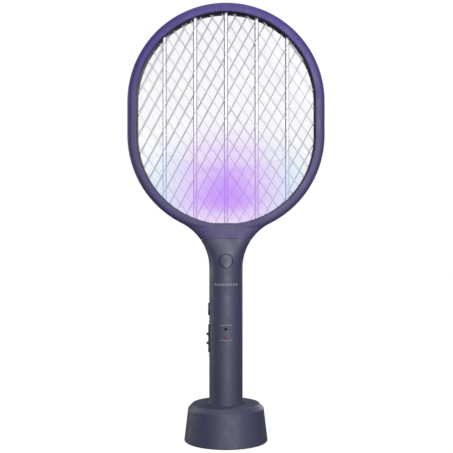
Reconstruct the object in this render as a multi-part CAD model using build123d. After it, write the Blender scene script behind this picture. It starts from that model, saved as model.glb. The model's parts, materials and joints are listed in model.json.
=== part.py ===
from build123d import *
import math
import os

# Electric fly swatter: a racket with a high-voltage grid, standing in its charging base.
# Millimetres.  +Z is up, the racket's front faces -Y, and the origin is the centre of the
# base's footprint, on the surface that it stands on.

# ---- driving dimensions ----------------------------------------------------------------

# charging base
BASE_FOOT_R = 46.7          # outer radius just above the surface
BASE_SHOULDER_R = 42.3      # outer radius where the shoulder begins
BASE_SHOULDER_Z = 37.4
BASE_TOP_R = 37.4           # radius of the flat top face
BASE_TOP_Z = 42.5
SHOULDER_ROUND = 1.8        # rounding of the shoulder's two edges
FOOT_ROUND = 1.2
BASE_RIM_Z = 0.8            # lower edge of the base shell
BASE_WALL = 2.4
SOCKET_FLOOR_Z = 12.0       # what the handle rests on
SOCKET_CLEARANCE = 0.4      # radial gap round the handle in its socket
MOUTH_CHAMFER = 1.2         # bevel round the mouth of the socket
FOOT_RING_R = (36.0, 42.5)  # rubber foot ring, inner and outer radius

# handle
HANDLE_R = 18.7
SHELL_WALL = 2.2
HANDLE_BOTTOM_Z = 12.3
END_CAP_TOP_Z = 16.2        # end cap below, shells above
NECK_START_Z = 193.66       # the round handle ends here and the neck widens
NECK_ARC_R = 56.0           # radius of the two concave arcs beside the neck
NECK_POINTS, NECK_SECTIONS = 16, 6  # how finely the neck's form is drawn
PARTING = 0.03              # half the gap along the joint of front and rear shells

# head: an upright stadium, two half circles joined by short straight sides
HEAD_R = 110.0
HEAD_LOW_Z = 341.9          # centre of the lower half circle
HEAD_HIGH_Z = 379.3         # centre of the upper half circle
HEAD_HALF_DEPTH = 11.0
OPENING_R = 99.0            # inner edge of the frame's lips
RIM_R = 103.3               # outer edge of the nets and spacers held between the frames
GROOVE_R = 103.6            # groove in the frames that holds them
FACE_ROUND_OUT = 6.0        # rounding of the frame's outer edge
FACE_ROUND_IN = 1.5         # rounding of its inner edge
LIP_BACK = 5.2              # how far from the middle plane the lips end
SEAM_Z = 226.5              # seam between head and handle, at its middle
SEAM_ARC_R = 244.0          # the seam is slightly arched
SEAM_GAP = 0.3
COLLAR_REACH = 4.0          # the collar inside the seam reaches this far below and above it
COLLAR_WALL = 1.0
COLLAR_CLEARANCE = 0.4      # between the collar and the walls round it

# nets
GUARD_Y = (4.2, 5.0)        # guard net, distances from the middle plane
SPACER_Y = (0.6, 4.1)
GRID_HALF = 0.5             # half thickness of the high-voltage grid
WIRE = 0.9                  # guard wire width
RISING_ANGLE, RISING_PITCH = 62.0, 11.1    # guard wires "/", pitch across the wires
FALLING_ANGLE, FALLING_PITCH = 126.0, 10.8  # guard wires "\"
FINE_WIRE, FINE_PITCH = 0.5, 2.4           # high-voltage grid wires, parallel to "\"
RIB_COUNT, RIB_PITCH, RIB_WIDTH = 5, 34.3, 4.5

# controls
FRONT_BUTTON_Z, FRONT_BUTTON_R = 202.0, 6.9
FRONT_GROOVE = (1.1, 1.0)         # groove round the front button, width and depth
SIDE_BUTTON_Z = 147.6
SIDE_BUTTON_SIZE = (10.0, 14.0)   # across, along the handle
BEZEL_Z, BEZEL_SIZE = 114.8, (12.4, 39.6)
SLIDER_SIZE = (9.6, 31.4)
SLIDER_PROUD = 1.2                # the slider's plate stands this far out of the handle
RIDGES_Z = (109.7, 119.8)
RIDGE_HALF_WIDTH, RIDGE_HALF_BASE = 4.0, 2.4
RIDGE_ROOT_X, RIDGE_TIP_X = -18.5, -22.2
LED_Z = (127.3, 118.0)            # charge lamp, power lamp
LED_R, LED_DOME_Y = 1.45, -17.4
BUTTON_GAP = 0.35

# inside the handle
BOARD_Y = (-9.8, -8.2)
BOARD_Z = (101.0, 211.0)
BOARD_HALF_WIDTH = 12.0
SIDE_BOARD_X = (-9.3, -8.1)
HANDLE_SCREWS_Z = (97.0, 158.0, 216.0)
BATTERY_R, BATTERY_Z, BATTERY_Y = 9.15, (27.0, 92.0), 4.0
HEAD_SCREW_R = 106.2             # the frame screws stand on this outline
HEAD_SCREW_SHANK_R, HEAD_SCREW_HEAD_R = 1.0, 1.9
HEAD_SCREW_Y = (-6.5, 8.2, 9.6)  # tip, underside of the head, top of the head
SCREW_SHANK_R, SCREW_HEAD_R = 1.25, 2.6
SCREW_Y = (-8.0, 10.0, 12.2)     # the same for the handle's screws
SCREW_HOLE_GAP = 0.3             # radial gap round screws and their heads
POST_FRONT_R, POST_REAR_R = 3.0, 3.8
TACT_HALF = 3.0                  # half width of the small push switches
TACT_HEIGHT = 1.5
FLANGE_Y = (-13.8, -12.9)        # flange that keeps the front button in its hole
FLANGE_R = 8.2
SIDE_FLANGE_X = (-14.9, -14.0)   # the same for the side button
SLOT_X, SLOT_Z = (-20.5, 20.5), (232, 243)  # passage for the ultraviolet light
WINDOW_HALF_WIDTH = 24.0         # clear part of the front spacer ring
LAMP_BOARD_Z = (231.8, 233.0)
LAMP_X = (-14.0, 0.0, 14.0)      # the three ultraviolet lamps
SLIDE_SWITCH_HALF = (3.2, 10.5)
LEAD_R, LEAD_BEND_R = 0.7, 6.0

# contacts between base and handle
CONTACT_X = 6.0
PIN_TIP_Z = 12.2
PIN_R, PIN_COLLAR_R, PIN_COLLAR_Z = 1.1, 1.5, (7.9, 9.9)
CONTACT_PLATE_R, CONTACT_PLATE = 2.55, 0.95
CONTACT_STEM_R, CONTACT_STEM_TOP_Z = 1.0, 18.5
PLUG_WALL, PLUG_TOP_Z = 1.9, 22.5   # the end cap's plug inside the shells
BASE_BOARD_Z = (5.0, 6.6)
HOLDER_TOP_Z = 9.8

# bottom plate of the base
PLATE_Z = (1.2, 3.4)
PLATE_GAP = 0.2
PLATE_SCREW_PLACE_R = 30.0
PLATE_SCREW_SHANK_R, PLATE_SCREW_HEAD_R = 1.2, 2.7
PLATE_SCREW_Z = (1.3, 2.15, 12.0)   # underside, top of the head, tip
PLATE_POST_R, PLATE_POST_Z = 3.2, (3.5, 39.6)
PLATE_SCREW_ANGLES = (45, 135, 225, 315)

# charging inlet, a USB-C receptacle in the rear wall of the base
INLET_Z = 8.25
INLET_SIZE = (8.94, 3.26)
INLET_WINDOW = (13.0, 7.2)
INLET_Y = (33.5, 41.0)

FAR = 400.0                 # larger than the whole object, for cutting away half-spaces

os.makedirs("parts", exist_ok=True)


# ---- helpers ---------------------------------------------------------------------------

def save(name, shape):
    """Write one node's solid or solids."""
    export_step(shape, f"parts/{name}.step")


def group(solids):
    """Several equal small pieces that share a node."""
    return Compound(children=list(solids))


def upright(y):
    """A plane facing the front, at depth y, with X to the right and Z up."""
    return Plane(origin=(0, y, 0), x_dir=(1, 0, 0), z_dir=(0, -1, 0))


def slab(outline, y_front, y_back):
    """A flat piece with an outline drawn in X and Z, from y_front to y_back."""
    return extrude(upright(y_back) * outline, amount=y_back - y_front)


def block(x, y, z):
    """A box between the given (low, high) pairs."""
    size = (x[1] - x[0], y[1] - y[0], z[1] - z[0])
    middle = ((x[0] + x[1]) / 2, (y[0] + y[1]) / 2, (z[0] + z[1]) / 2)
    return Pos(*middle) * Box(*size)


def post(radius, z_low, z_high, x=0.0, y=0.0):
    """A cylinder along Z."""
    return Pos(x, y, (z_low + z_high) / 2) * Cylinder(radius, z_high - z_low)


def rod_y(radius, y_front, y_back, x=0.0, z=0.0):
    """A cylinder along Y."""
    return Pos(x, (y_front + y_back) / 2, z) * Rot(90, 0, 0) * Cylinder(radius, y_back - y_front)


def rod_x(radius, x_low, x_high, y=0.0, z=0.0):
    """A cylinder along X."""
    return Pos((x_low + x_high) / 2, y, z) * Rot(0, 90, 0) * Cylinder(radius, x_high - x_low)


def side_prism(outline, x_low, x_high, z):
    """A piece with an outline drawn in Y and Z, centred at height z, from x_low to x_high."""
    plane = Plane(origin=(x_low, 0, z), x_dir=(0, 1, 0), z_dir=(1, 0, 0))
    return extrude(plane * outline, amount=x_high - x_low)


def sleeve(r_in, r_out, z_low, z_high):
    """A tube along Z round the handle's axis."""
    return post(r_out, z_low, z_high) - post(r_in, z_low - 1, z_high + 1)


def stadium(radius):
    """The head's outline, offset to the given end radius, in X and Z."""
    height = HEAD_HIGH_Z - HEAD_LOW_Z
    middle = (HEAD_HIGH_Z + HEAD_LOW_Z) / 2
    return Pos(0, middle) * SlotCenterToCenter(height, 2 * radius, rotation=90)


def half(solid, side):
    """The front (-1) or rear (+1) half of a shell, with the parting gap left open."""
    near = side * PARTING
    far = side * FAR
    return solid & block((-FAR, FAR), (min(near, far), max(near, far)), (-FAR, 2 * FAR))


# ---- outer form of handle and neck -----------------------------------------------------

def neck_top():
    """Height where a neck arc runs into the head's lower circle."""
    reach = HEAD_LOW_Z - NECK_START_Z
    return NECK_START_Z + NECK_ARC_R * reach / (HEAD_R + NECK_ARC_R)


def neck_depth(z):
    """Half depth of the neck at height z."""
    rise = (z - NECK_START_Z) / (neck_top() - NECK_START_Z)
    swell = (HANDLE_R - HEAD_HALF_DEPTH) * (1 + math.cos(math.pi * rise)) / 2
    return HEAD_HALF_DEPTH + swell


def neck_section(z, wall):
    """Front half of the neck's section at height z: a half circle that squares off upwards."""
    rise = (z - NECK_START_Z) / (neck_top() - NECK_START_Z)
    arc_x = HANDLE_R + NECK_ARC_R
    width = arc_x - math.sqrt(NECK_ARC_R ** 2 - (z - NECK_START_Z) ** 2) - wall
    depth = neck_depth(z) - wall
    power = 2.0 + 2.0 * rise ** 2
    points = []
    for step in range(NECK_POINTS + 1):
        angle = math.pi * step / NECK_POINTS
        c, s = math.cos(angle), math.sin(angle)
        x = width * math.copysign(abs(c) ** (2 / power), c)
        y = -depth * abs(s) ** (2 / power)
        points.append((x, y, z))
    curve = Spline(*points, tangents=[(0, -1, 0), (0, 1, 0)], tangent_scalars=[1, 1])
    return make_face([curve, Line(points[-1], points[0])])


def neck_half(wall):
    """The front half of the neck's solid form, inside its surface by wall."""
    span = neck_top() - NECK_START_Z
    last = NECK_SECTIONS - 1
    return loft([neck_section(NECK_START_Z + span * step / last, wall) for step in range(NECK_SECTIONS)])


def grip_half(wall, bottom):
    """The front half of handle and neck together, inside their surface by wall."""
    neck = neck_half(wall)
    foot = neck.faces().sort_by(Axis.Z)[0]
    return neck + extrude(foot, amount=NECK_START_Z - bottom, dir=(0, 0, -1))


def seam_disc(offset):
    """Everything below the arched seam, moved up by offset."""
    top = SEAM_Z + offset
    return rod_y(SEAM_ARC_R, -60, 60, 0, top - SEAM_ARC_R)


# ---- head ------------------------------------------------------------------------------

def head_screw_places():
    """Eight screw places round the frame."""
    places = []
    for centre, angles in ((HEAD_HIGH_Z, (20, 65, 115, 160)), (HEAD_LOW_Z, (200, 232, 308, 340))):
        for angle in angles:
            turn = math.radians(angle)
            places.append((HEAD_SCREW_R * math.cos(turn), centre + HEAD_SCREW_R * math.sin(turn)))
    return places


def head_ring():
    """One half of the ring, on the front side, rounded outside and inside."""
    ring = slab(stadium(HEAD_R), -HEAD_HALF_DEPTH, 0)
    ring = fillet(ring.faces().sort_by(Axis.Y)[0].edges(), FACE_ROUND_OUT)
    ring -= slab(stadium(OPENING_R), -HEAD_HALF_DEPTH - 1, 1)
    face = ring.faces().sort_by(Axis.Y)[0]
    inner_edges = [edge for wire in face.inner_wires() for edge in wire.edges()]
    return fillet(inner_edges, FACE_ROUND_IN)


def lamp_slot():
    """Passage for the ultraviolet light, from the neck's cavity to the window."""
    return block(SLOT_X, (-SPACER_Y[1] + 0.3, -SPACER_Y[0] - 0.3), SLOT_Z)


def head_half():
    """The front half of the head with its part of the neck, before any screws."""
    frame = head_ring() + (neck_half(0) - seam_disc(SEAM_GAP))
    frame -= slab(stadium(GROOVE_R), -LIP_BACK, 1)
    frame -= neck_half(SHELL_WALL) - slab(stadium(GROOVE_R + 2.0), -30, 1)
    return half(frame, -1)


def make_head():
    """Front and rear frame with their screws."""
    front = head_half()
    rear = mirror(front, about=Plane.XZ)
    front -= lamp_slot()
    screws = []
    tip, seat, top = HEAD_SCREW_Y
    outside = HEAD_HALF_DEPTH + 1
    for x, z in head_screw_places():
        # blind pilot hole in the front frame, through hole and counterbore in the rear one
        front -= rod_y(HEAD_SCREW_SHANK_R + 0.05, tip - 1, 0.5, x, z)
        rear -= rod_y(HEAD_SCREW_SHANK_R + SCREW_HOLE_GAP, -0.5, outside, x, z)
        rear -= rod_y(HEAD_SCREW_HEAD_R + 0.2, seat - 0.2, outside, x, z)
        screws.append(rod_y(HEAD_SCREW_SHANK_R, tip, seat, x, z) + rod_y(HEAD_SCREW_HEAD_R, seat, top, x, z))
    save("head_front_frame", front)
    save("head_rear_frame", rear)
    save("head_screws", group(screws))


def make_collar():
    """The sleeve inside the seam, which lines up head and handle and closes the gap."""
    outer = SHELL_WALL + COLLAR_CLEARANCE
    front = neck_half(outer) - neck_half(outer + COLLAR_WALL)
    front &= seam_disc(COLLAR_REACH) - seam_disc(-COLLAR_REACH)
    front = half(front, -1)
    save("neck_collar", group([front, mirror(front, about=Plane.XZ)]))


# ---- nets, spacers and ribs ------------------------------------------------------------

def along(angle, across, distance):
    """The point a distance along a line at an angle, moved sideways by across."""
    turn = math.radians(angle)
    middle = (HEAD_HIGH_Z + HEAD_LOW_Z) / 2
    x = distance * math.cos(turn) - across * math.sin(turn)
    z = distance * math.sin(turn) + across * math.cos(turn)
    return (x, middle + z)


def crossing(across_a, across_b):
    """Where a rising wire's edge meets a falling wire's edge, each given by its sideways place."""
    a = math.radians(RISING_ANGLE)
    b = math.radians(FALLING_ANGLE)
    determinant = math.sin(b - a)
    x = (math.cos(a) * across_b - math.cos(b) * across_a) / determinant
    z = (math.sin(a) * across_b - math.sin(b) * across_a) / determinant
    middle = (HEAD_HIGH_Z + HEAD_LOW_Z) / 2
    return (-x, middle - z)


def inside(point, radius):
    """True where a point lies inside the stadium of the given radius."""
    x, z = point
    nearest = min(max(z, HEAD_LOW_Z), HEAD_HIGH_Z)
    return math.hypot(x, z - nearest) < radius


def panel(holes, opening_r, y_front, y_back):
    """A flat panel with a solid rim and holes clipped to the opening."""
    opening = stadium(opening_r)
    wires = []
    for corners in holes:
        within = [inside(corner, opening_r) for corner in corners]
        face = make_face(Polyline(*corners, close=True))
        if all(within):
            wires.append(face.face().outer_wire())
            continue
        clipped = face & opening
        if clipped is None:
            continue
        for piece in clipped.faces():
            if piece.area > 0.6:
                wires.append(piece.outer_wire())
    outline = stadium(RIM_R).face().outer_wire()
    return slab(Face(outline, wires), y_front, y_back)


def guard_holes():
    """The diamond openings between the crossing guard wires."""
    holes = []
    margin = WIRE / 2
    for i in range(-14, 14):
        for j in range(-16, 16):
            a_low = i * RISING_PITCH + margin
            a_high = (i + 1) * RISING_PITCH - margin
            b_low = j * FALLING_PITCH + margin
            b_high = (j + 1) * FALLING_PITCH - margin
            corners = [crossing(a_low, b_low), crossing(a_high, b_low),
                       crossing(a_high, b_high), crossing(a_low, b_high)]
            if any(inside(corner, OPENING_R) for corner in corners):
                holes.append(corners)
    return holes


def grid_holes():
    """The long openings between the fine parallel wires."""
    holes = []
    for i in range(-60, 60):
        low = i * FINE_PITCH + FINE_WIRE / 2
        high = (i + 1) * FINE_PITCH - FINE_WIRE / 2
        reach = 130.0
        corners = [along(FALLING_ANGLE, low, -reach), along(FALLING_ANGLE, low, reach),
                   along(FALLING_ANGLE, high, reach), along(FALLING_ANGLE, high, -reach)]
        holes.append(corners)
    return holes


def rib(number, side):
    """One upright rib between a guard net and the high-voltage grid."""
    x = (number - (RIB_COUNT - 1) / 2) * RIB_PITCH
    reach = math.sqrt((OPENING_R + 2.2) ** 2 - (abs(x) + RIB_WIDTH / 2) ** 2)
    y = sorted((side * (SPACER_Y[0] + 0.1), side * (SPACER_Y[1] - 0.1)))
    return block((x - RIB_WIDTH / 2, x + RIB_WIDTH / 2), y, (HEAD_LOW_Z - reach, HEAD_HIGH_Z + reach))


def rib_slots(side):
    """Notches for the rib ends, a little larger than the ribs."""
    slots = []
    for number in range(RIB_COUNT):
        box = rib(number, side).bounding_box()
        slots.append(block((box.min.X - 0.1, box.max.X + 0.1), (box.min.Y - 1, box.max.Y + 1),
                           (box.min.Z - 0.1, box.max.Z + 0.1)))
    return slots


def make_nets():
    """Guard nets, high-voltage grid, spacer rings, ribs and the lamp's window."""
    diamonds = guard_holes()
    front_net = panel(diamonds, OPENING_R - 0.6, -GUARD_Y[1], -GUARD_Y[0])
    save("front_guard_net", front_net)
    save("rear_guard_net", Pos(0, GUARD_Y[0] + GUARD_Y[1], 0) * front_net)
    save("high_voltage_grid", panel(grid_holes(), OPENING_R + 1.0, -GRID_HALF, GRID_HALF))

    edge = WINDOW_HALF_WIDTH
    window_zone = block((-edge, edge), (-FAR, FAR), (0, HEAD_LOW_Z))
    gap_zone = block((-edge - 0.1, edge + 0.1), (-FAR, FAR), (0, HEAD_LOW_Z))
    for side, place in ((-1, "front"), (1, "rear")):
        y = sorted((side * SPACER_Y[0], side * SPACER_Y[1]))
        ring = slab(stadium(RIM_R), *y) - slab(stadium(OPENING_R + 0.4), y[0] - 1, y[1] + 1)
        for slot in rib_slots(side):
            ring -= slot
        if side < 0:
            save("uv_lamp_window", ring & window_zone)
            ring -= gap_zone
        save(f"{place}_spacer_ring", ring)
        for number in range(RIB_COUNT):
            save(f"grid_rib_{place}_{number + 1}", rib(number, side))


# ---- handle ----------------------------------------------------------------------------

def bezel_outline(grow):
    """The slide switch's round-ended outline in Y and Z, grown all round."""
    width, length = BEZEL_SIZE
    return SlotOverall(length + 2 * grow, width + 2 * grow, rotation=90)


def slider_outline():
    """The outline of the sliding plate in Y and Z."""
    width, length = SLIDER_SIZE
    return SlotOverall(length, width, rotation=90)


def side_button_outline(grow):
    """The side button's oval in Y and Z, grown all round."""
    width, length = SIDE_BUTTON_SIZE
    return Ellipse(width / 2 + grow, length / 2 + grow)


def handle_screw(z):
    """A screw from the rear shell into the front shell."""
    tip, seat, top = SCREW_Y
    return rod_y(SCREW_SHANK_R, tip, seat, 0, z) + rod_y(SCREW_HEAD_R, seat, top, 0, z)


def shell_half():
    """The front half of the handle's shell, plain, up to the arched seam."""
    shell = grip_half(0, END_CAP_TOP_Z) - grip_half(SHELL_WALL, END_CAP_TOP_Z - 1)
    shell &= seam_disc(0)
    shell -= side_prism(bezel_outline(0.1), -FAR, -8, BEZEL_Z)
    shell -= side_prism(side_button_outline(BUTTON_GAP), -FAR, -8, SIDE_BUTTON_Z)
    return half(shell, -1)


def make_handle():
    """Front and rear shells and their screws."""
    front = shell_half()
    rear = mirror(front, about=Plane.XZ)
    for z in HANDLE_SCREWS_Z:
        surface = neck_depth(z) if z > NECK_START_Z else HANDLE_R
        reach = surface - SHELL_WALL / 2
        tip, seat, _ = SCREW_Y
        # screw post in the front shell, with a blind pilot hole
        front += rod_y(POST_FRONT_R, -reach, -PARTING, 0, z)
        front -= rod_y(SCREW_SHANK_R + 0.05, tip - 1, 1, 0, z)
        # screw post in the rear shell, with a through hole and a deep counterbore
        rear += rod_y(POST_REAR_R, PARTING, reach, 0, z)
        rear -= rod_y(SCREW_SHANK_R + SCREW_HOLE_GAP, -1, seat, 0, z)
        rear -= rod_y(SCREW_HEAD_R + SCREW_HOLE_GAP, seat - 0.1, HANDLE_R + 1, 0, z)
    outside = -HANDLE_R - 1
    front -= rod_y(FRONT_BUTTON_R + BUTTON_GAP, outside, BOARD_Y[0], 0, FRONT_BUTTON_Z)
    width, depth = FRONT_GROOVE
    groove = rod_y(FRONT_BUTTON_R + width, outside, FLANGE_Y[0], 0, FRONT_BUTTON_Z)
    front -= groove - grip_half(depth, SIDE_BUTTON_Z)
    for z in LED_Z:
        front -= rod_y(LED_R + 0.15, outside, BOARD_Y[0], 0, z)
    save("handle_front_shell", front)
    save("handle_rear_shell", rear)
    save("handle_screws", group(handle_screw(z) for z in HANDLE_SCREWS_Z))


def make_end_cap():
    """The handle's end cap with its plug, and the two contact plates in its underside."""
    cap = post(HANDLE_R, HANDLE_BOTTOM_Z, END_CAP_TOP_Z - 0.1)
    cap = fillet(cap.faces().sort_by(Axis.Z)[0].edges(), 1.0)
    plug_r = HANDLE_R - SHELL_WALL - 0.1
    cap += sleeve(plug_r - PLUG_WALL, plug_r, END_CAP_TOP_Z - 0.1, PLUG_TOP_Z)
    plates = []
    low, high = HANDLE_BOTTOM_Z, HANDLE_BOTTOM_Z + CONTACT_PLATE
    for side in (-1, 1):
        x = side * CONTACT_X
        cap -= post(CONTACT_PLATE_R + 0.05, low - 1, high + 0.05, x)
        cap -= post(CONTACT_STEM_R + 0.1, low, PLUG_TOP_Z, x)
        plates.append(post(CONTACT_PLATE_R, low, high, x)
                      + post(CONTACT_STEM_R, high - 0.05, CONTACT_STEM_TOP_Z, x))
    save("handle_end_cap", cap)
    save("charging_contacts", group(plates))


def make_controls():
    """The push buttons, the slide switch's bezel and its slider."""
    # round front button, curved like the handle and standing slightly proud
    proud = 0.35
    outside = -HANDLE_R - 5
    button = rod_y(FRONT_BUTTON_R, outside, FLANGE_Y[0], 0, FRONT_BUTTON_Z) & grip_half(-proud, SIDE_BUTTON_Z)
    button += rod_y(FLANGE_R, *FLANGE_Y, 0, FRONT_BUTTON_Z)
    save("front_button", button)

    # oval side button with a flange inside the wall
    low_z, high_z = END_CAP_TOP_Z, NECK_START_Z
    oval = side_prism(side_button_outline(0), outside, SIDE_FLANGE_X[1], SIDE_BUTTON_Z)
    oval &= post(HANDLE_R + 1.3, low_z, high_z)
    oval += side_prism(side_button_outline(0.9), *SIDE_FLANGE_X, SIDE_BUTTON_Z)
    save("side_button", oval)

    # bezel set flush into the wall, with a recess for the slider and a slot for its stem
    inner_x, floor_r = -8.0, 16.9
    bezel = side_prism(bezel_outline(0), outside, inner_x, BEZEL_Z)
    bezel &= sleeve(floor_r - 0.9, HANDLE_R + proud, low_z, high_z)
    bezel -= side_prism(bezel_outline(-1.0), outside, inner_x, BEZEL_Z) - post(floor_r, low_z, high_z)
    bezel -= block((outside, inner_x), (-1.7, 1.7), (BEZEL_Z - 5.5, BEZEL_Z + 5.5))
    save("switch_bezel", bezel)

    # slider: a curved plate with two pointed ridges, and a stem into the switch
    plate = side_prism(slider_outline(), outside, inner_x, BEZEL_Z)
    plate &= sleeve(floor_r + 0.3, HANDLE_R + SLIDER_PROUD, low_z, high_z)
    for z in RIDGES_Z:
        corners = [(RIDGE_ROOT_X, z - RIDGE_HALF_BASE), (RIDGE_TIP_X, z), (RIDGE_ROOT_X, z + RIDGE_HALF_BASE)]
        plate += slab(make_face(Polyline(*corners, close=True)), -RIDGE_HALF_WIDTH, RIDGE_HALF_WIDTH)
    plate += block((-17.6, -13.8), (-1.3, 1.3), (BEZEL_Z - 2.0, BEZEL_Z + 2.0))
    save("mode_slider", plate)


# ---- electronics inside the handle -----------------------------------------------------

def make_electronics():
    """Boards, switches, lamps, battery, transformer and capacitor."""
    board = block((-BOARD_HALF_WIDTH, BOARD_HALF_WIDTH), BOARD_Y, BOARD_Z)
    board -= rod_y(POST_FRONT_R + 0.3, BOARD_Y[0] - 1, BOARD_Y[1] + 1, 0, HANDLE_SCREWS_Z[1])
    save("main_board", board)
    save("side_switch_board", block(SIDE_BOARD_X, (BOARD_Y[1] + 0.1, 5.5), (102.0, 154.0)))

    face = SIDE_BOARD_X[0]
    wide, long = SLIDE_SWITCH_HALF
    save("slide_switch", block((-13.5, face), (-wide, wide), (BEZEL_Z - long, BEZEL_Z + long)))
    size = TACT_HALF
    tact = block((face - 2.4, face), (-size, size), (SIDE_BUTTON_Z - size, SIDE_BUTTON_Z + size))
    save("side_tact_switch", tact + rod_x(size / 2, -12.9, face - 2.4, 0, SIDE_BUTTON_Z))
    top = BOARD_Y[0] - TACT_HEIGHT
    press = block((-size, size), (top, BOARD_Y[0]), (FRONT_BUTTON_Z - size, FRONT_BUTTON_Z + size))
    save("front_tact_switch", press + rod_y(size / 2, top - 0.7, top, 0, FRONT_BUTTON_Z))

    for name, z in zip(("charge_led", "power_led"), LED_Z):
        led = rod_y(LED_R, LED_DOME_Y, BOARD_Y[0], 0, z)
        save(name, led + Pos(0, LED_DOME_Y, z) * Sphere(LED_R))

    save("boost_transformer", block((-7, 7), (BOARD_Y[1], 5.0), (166, 184)))
    save("high_voltage_capacitor", fillet(block((-6.5, 6.5), (BOARD_Y[1], 0.5), (133, 149)).edges(), 1.5))
    cell = post(BATTERY_R, *BATTERY_Z, y=BATTERY_Y)
    save("battery_cell", cell)
    clips = [post(6.0, z, z + 0.8, y=BATTERY_Y) for z in (BATTERY_Z[0] - 0.8, BATTERY_Z[1])]
    save("battery_contacts", group(clips))

    save("uv_lamp_board", block((-22, 22), (-6.0, 2.0), LAMP_BOARD_Z))
    top = LAMP_BOARD_Z[1]
    leds = [block((x - 1.75, x + 1.75), (-3.6, -1.0), (top, top + 2.2)) for x in LAMP_X]
    save("uv_leds", group(leds))


def lead(points):
    """An insulated lead along straight runs joined by arcs."""
    path = FilletPolyline(*points, radius=LEAD_BEND_R)
    return sweep(Plane(origin=path @ 0, z_dir=path % 0) * Circle(LEAD_R), path=path)


def make_leads():
    """High-voltage leads from the transformer to the nets, and battery leads to the board."""
    high = []
    for x in (-9.0, 9.0):
        high.append(lead([(x, -6.8, 170), (x, -6.8, 205), (2.0 * x, -6.8, 222), (2.0 * x, -6.8, 230)]))
    save("high_voltage_leads", group(high))
    low = []
    for x in (-6.0, 6.0):
        low.append(lead([(x, -9.3, 30), (x, -9.3, 60), (x, -7.0, 80), (x, -7.0, 106)]))
    save("battery_leads", group(low))


# ---- charging base ---------------------------------------------------------------------

def base_profile(inset):
    """Half of the base's upright section, inset from its surface, as a face in X and Z."""
    slope = (BASE_FOOT_R - BASE_SHOULDER_R) / (BASE_SHOULDER_Z - BASE_RIM_Z)
    points = [(0, BASE_RIM_Z),
              (BASE_FOOT_R - inset, BASE_RIM_Z),
              (BASE_SHOULDER_R - inset + slope * inset * 0.3, BASE_SHOULDER_Z - inset * 0.3),
              (BASE_TOP_R - inset * 0.4, BASE_TOP_Z - inset),
              (0, BASE_TOP_Z - inset)]
    return make_face(Plane.XZ * Polyline(*points, close=True))


def base_form(inset):
    """The base's solid of revolution, with its shoulder edges rounded."""
    form = revolve(base_profile(inset), Axis.Z)
    rounds = [edge for edge in form.edges().filter_by(GeomType.CIRCLE) if edge.center().Z > 20]
    return fillet(rounds, SHOULDER_ROUND)


def make_base():
    """Base shell with its socket, bottom plate, foot ring and screws."""
    socket_r = HANDLE_R + SOCKET_CLEARANCE
    shell = base_form(0)
    foot = [edge for edge in shell.edges().filter_by(GeomType.CIRCLE) if edge.center().Z < 2]
    shell = fillet(foot, FOOT_ROUND)
    shell -= base_form(BASE_WALL) - post(socket_r + 2.0, SOCKET_FLOOR_Z - 2.0, FAR)
    shell -= post(BASE_FOOT_R - BASE_WALL, 0, PLATE_Z[1] + 0.6)
    shell -= post(socket_r, SOCKET_FLOOR_Z, FAR)
    mouth = [edge for edge in shell.edges().filter_by(GeomType.CIRCLE)
             if abs(edge.radius - socket_r) < 0.01 and edge.center().Z > 30]
    shell = chamfer(mouth, MOUTH_CHAMFER)
    for side in (-1, 1):
        shell -= post(1.4, 0, 20, side * CONTACT_X)
    inlet = Pos(0, INLET_Z) * RectangleRounded(*INLET_WINDOW, 3.0)
    shell -= slab(inlet, INLET_Y[0], FAR)

    plate = post(BASE_FOOT_R - BASE_WALL - PLATE_GAP, *PLATE_Z)
    plate -= sleeve(FOOT_RING_R[0] - 0.1, FOOT_RING_R[1] + 0.1, 0, 2.0)
    screws = []
    low, seat, tip = PLATE_SCREW_Z
    shank_r, head_r = PLATE_SCREW_SHANK_R, PLATE_SCREW_HEAD_R
    for angle in PLATE_SCREW_ANGLES:
        turn = math.radians(angle)
        x, y = PLATE_SCREW_PLACE_R * math.cos(turn), PLATE_SCREW_PLACE_R * math.sin(turn)
        shell += post(PLATE_POST_R, *PLATE_POST_Z, x, y) - post(shank_r + 0.05, 3, tip + 2, x, y)
        plate -= post(shank_r + 0.4, 0, PLATE_Z[1] + 1, x, y)
        plate -= post(head_r + 0.3, 0, seat + 0.05, x, y)
        screws.append(post(shank_r, seat - 0.05, tip, x, y) + post(head_r, low, seat, x, y))
    save("base_shell", shell)
    save("base_plate", plate)
    save("base_screws", group(screws))
    save("base_foot_ring", sleeve(*FOOT_RING_R, 0, 1.9))


def make_base_electronics():
    """Charging board, USB-C receptacle, spring contact holder and its pins."""
    save("base_board", block((-13, 13), (-10, 40.5), BASE_BOARD_Z))
    receptacle = Pos(0, INLET_Z) * RectangleRounded(*INLET_SIZE, 1.3)
    hollow = Pos(0, INLET_Z) * RectangleRounded(INLET_SIZE[0] - 0.6, INLET_SIZE[1] - 0.6, 1.0)
    shell = slab(receptacle, *INLET_Y) - slab(hollow, INLET_Y[0] + 1.0, INLET_Y[1] + 1)
    save("usb_c_shell", shell)
    tongue_y = (INLET_Y[0] + 1.0, INLET_Y[1] - 0.8)
    save("usb_c_tongue", block((-3.3, 3.3), tongue_y, (INLET_Z - 0.35, INLET_Z + 0.35)))

    holder = block((-10, 10), (-4, 4), (BASE_BOARD_Z[1], HOLDER_TOP_Z))
    pins = []
    dome_z = PIN_TIP_Z - PIN_R
    for side in (-1, 1):
        x = side * CONTACT_X
        holder -= post(PIN_COLLAR_R + 0.06, BASE_BOARD_Z[1] + 0.2, HOLDER_TOP_Z + 1, x)
        pin = post(PIN_COLLAR_R, *PIN_COLLAR_Z, x) + post(PIN_R, PIN_COLLAR_Z[1], dome_z, x)
        pins.append(pin + Pos(x, 0, dome_z) * Sphere(PIN_R))
    save("contact_pin_holder", holder)
    save("contact_pins", group(pins))


# ---- build -----------------------------------------------------------------------------

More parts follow.
